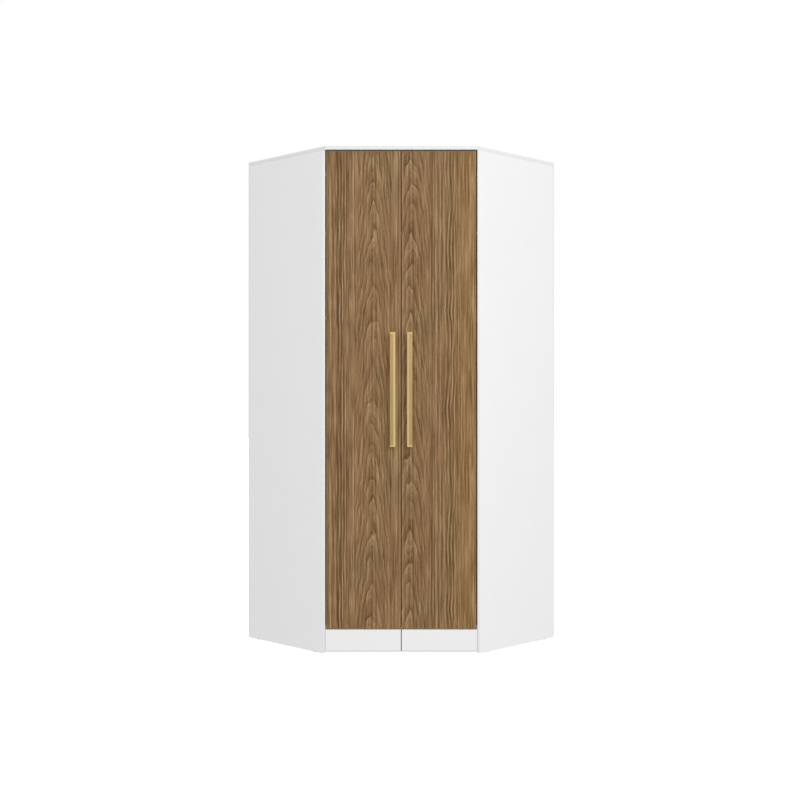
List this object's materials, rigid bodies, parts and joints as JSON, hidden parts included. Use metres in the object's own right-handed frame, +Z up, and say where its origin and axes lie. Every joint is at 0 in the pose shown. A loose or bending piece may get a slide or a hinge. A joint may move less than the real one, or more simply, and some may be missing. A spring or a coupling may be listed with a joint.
{
  "type": "corner wardrobe",
  "caption": "Corner wardrobe: white cut-corner carcass, wood-grain hinged doors with long bar handles, hat shelf, hanging rails and a low plinth.",
  "frame": {"origin": "on the floor, in the middle of the rectangle that the whole wardrobe fills in plan, handles included", "axes": "+X to the right as seen from in front, +Y away from the doors towards the back corner, +Z up"},
  "size_m": [1.4142, 1.1074, 2.2],
  "materials": {
    "white_board": "white melamine-faced board, satin",
    "wood_grain_board": "wood-grain melamine-faced board, satin",
    "back_sheet": "white painted hardboard, satin",
    "champagne_metal": "champagne gold anodised, satin",
    "nickel_steel": "nickel plated",
    "chrome_tube": "polished",
    "white_plastic": "extruded, matt",
    "grey_plastic": "moulded, matt"
  },
  "bodies": {
    "carcass": {"left_side_panel": "white_board", "right_side_panel": "white_board", "top_panel": "white_board", "bottom_panel": "white_board", "hat_shelf": "white_board", "left_back_sheet_inner": "back_sheet", "left_back_sheet_outer": "back_sheet", "right_back_sheet_inner": "back_sheet", "right_back_sheet_outer": "back_sheet", "left_back_joint_strip": "white_plastic", "right_back_joint_strip": "white_plastic", "back_corner_batten": "white_board", "left_plinth_board": "white_board", "right_plinth_board": "white_board", "plinth_centre_support": "white_board", "left_rear_base_board": "white_board", "right_rear_base_board": "white_board", "left_front_glide": "grey_plastic", "left_rear_glide": "grey_plastic", "right_front_glide": "grey_plastic", "right_rear_glide": "grey_plastic", "back_corner_glide": "grey_plastic", "left_hanging_rail": "chrome_tube", "right_hanging_rail": "chrome_tube", "left_rail_flange": "chrome_tube", "right_rail_flange": "chrome_tube", "left_rail_hanger": "chrome_tube", "right_rail_hanger": "chrome_tube", "left_hinge_1_arm": "nickel_steel", "left_hinge_2_arm": "nickel_steel", "left_hinge_3_arm": "nickel_steel", "left_hinge_4_arm": "nickel_steel", "right_hinge_1_arm": "nickel_steel", "right_hinge_2_arm": "nickel_steel", "right_hinge_3_arm": "nickel_steel", "right_hinge_4_arm": "nickel_steel"},
    "left_leaf": {"left_door": "wood_grain_board", "left_handle": "champagne_metal", "left_handle_screw_lower": "nickel_steel", "left_handle_screw_upper": "nickel_steel", "left_hinge_1_cup": "nickel_steel", "left_hinge_2_cup": "nickel_steel", "left_hinge_3_cup": "nickel_steel", "left_hinge_4_cup": "nickel_steel"},
    "right_leaf": {"right_door": "wood_grain_board", "right_handle": "champagne_metal", "right_handle_screw_lower": "nickel_steel", "right_handle_screw_upper": "nickel_steel", "right_hinge_1_cup": "nickel_steel", "right_hinge_2_cup": "nickel_steel", "right_hinge_3_cup": "nickel_steel", "right_hinge_4_cup": "nickel_steel"},
    "left_links": {"left_hinge_1_link": "nickel_steel", "left_hinge_2_link": "nickel_steel", "left_hinge_3_link": "nickel_steel", "left_hinge_4_link": "nickel_steel"},
    "right_links": {"right_hinge_1_link": "nickel_steel", "right_hinge_2_link": "nickel_steel", "right_hinge_3_link": "nickel_steel", "right_hinge_4_link": "nickel_steel"}
  },
  "joints": [
    {"name": "left_door_swing", "type": "hinge", "parent": "carcass", "child": "left_leaf", "pos_m": [-0.32022, -0.5122, 1.1445], "axis": [0, 0, -1], "range_deg": [0, 100]},
    {"name": "right_door_swing", "type": "hinge", "parent": "carcass", "child": "right_leaf", "pos_m": [0.32022, -0.5122, 1.1445], "axis": [0, 0, 1], "range_deg": [0, 100]},
    {"name": "left_link_turn", "type": "hinge", "parent": "carcass", "child": "left_links", "pos_m": [-0.32022, -0.5122, 1.1445], "axis": [0, 0, -1], "range_deg": [0, 50]},
    {"name": "right_link_turn", "type": "hinge", "parent": "carcass", "child": "right_links", "pos_m": [0.32022, -0.5122, 1.1445], "axis": [0, 0, 1], "range_deg": [0, 50]}
  ],
  "couplings": [
    {"joint": "left_link_turn", "follows": "left_door_swing", "ratio": 0.5},
    {"joint": "right_link_turn", "follows": "right_door_swing", "ratio": 0.5}
  ]
}
